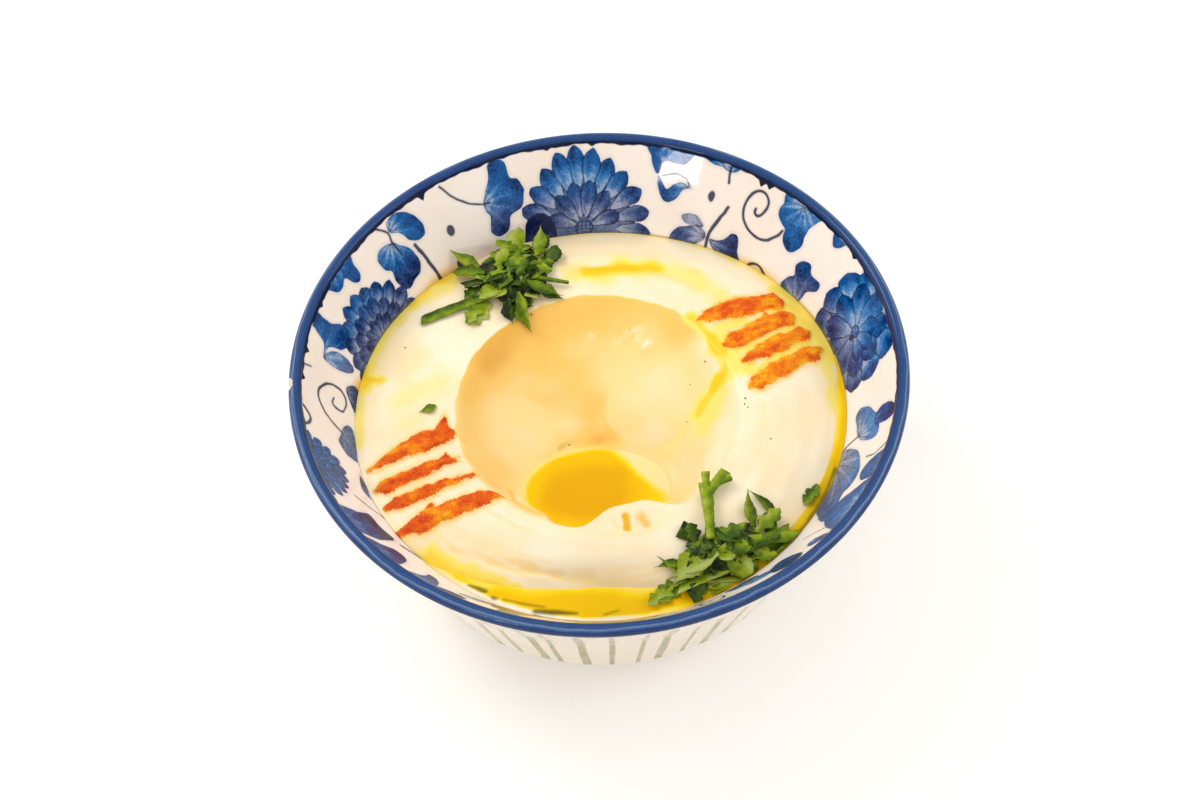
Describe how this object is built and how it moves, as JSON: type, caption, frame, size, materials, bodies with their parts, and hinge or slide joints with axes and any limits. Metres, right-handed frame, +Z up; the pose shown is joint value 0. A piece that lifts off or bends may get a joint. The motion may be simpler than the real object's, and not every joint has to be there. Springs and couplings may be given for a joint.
{
  "type": "bowl of hummus",
  "caption": "A footed glazed bowl with a painted floral band, filled with hummus swirled into a ring round a well, with olive oil, paprika bands and chopped parsley",
  "frame": {"origin": "centre of the bounding box's bottom face: on the surface that the bowl stands on, under the middle of its foot", "axes": "+Z up, out of the bowl's mouth; -Y the front, where the oil lies widest against the wall; +X the viewer's right"},
  "size_m": [0.1598, 0.1598, 0.0683],
  "materials": {
    "glaze": "gloss",
    "hummus": "satin",
    "oil": "gloss",
    "parsley": "satin"
  },
  "bodies": {
    "root": {"bowl": "glaze", "hummus": "hummus", "oil_pool": "oil", "oil_moat": "oil", "parsley_back": "parsley", "parsley_front": "parsley", "parsley_bit_left": "parsley", "parsley_bit_right": "parsley"}
  },
  "joints": []
}
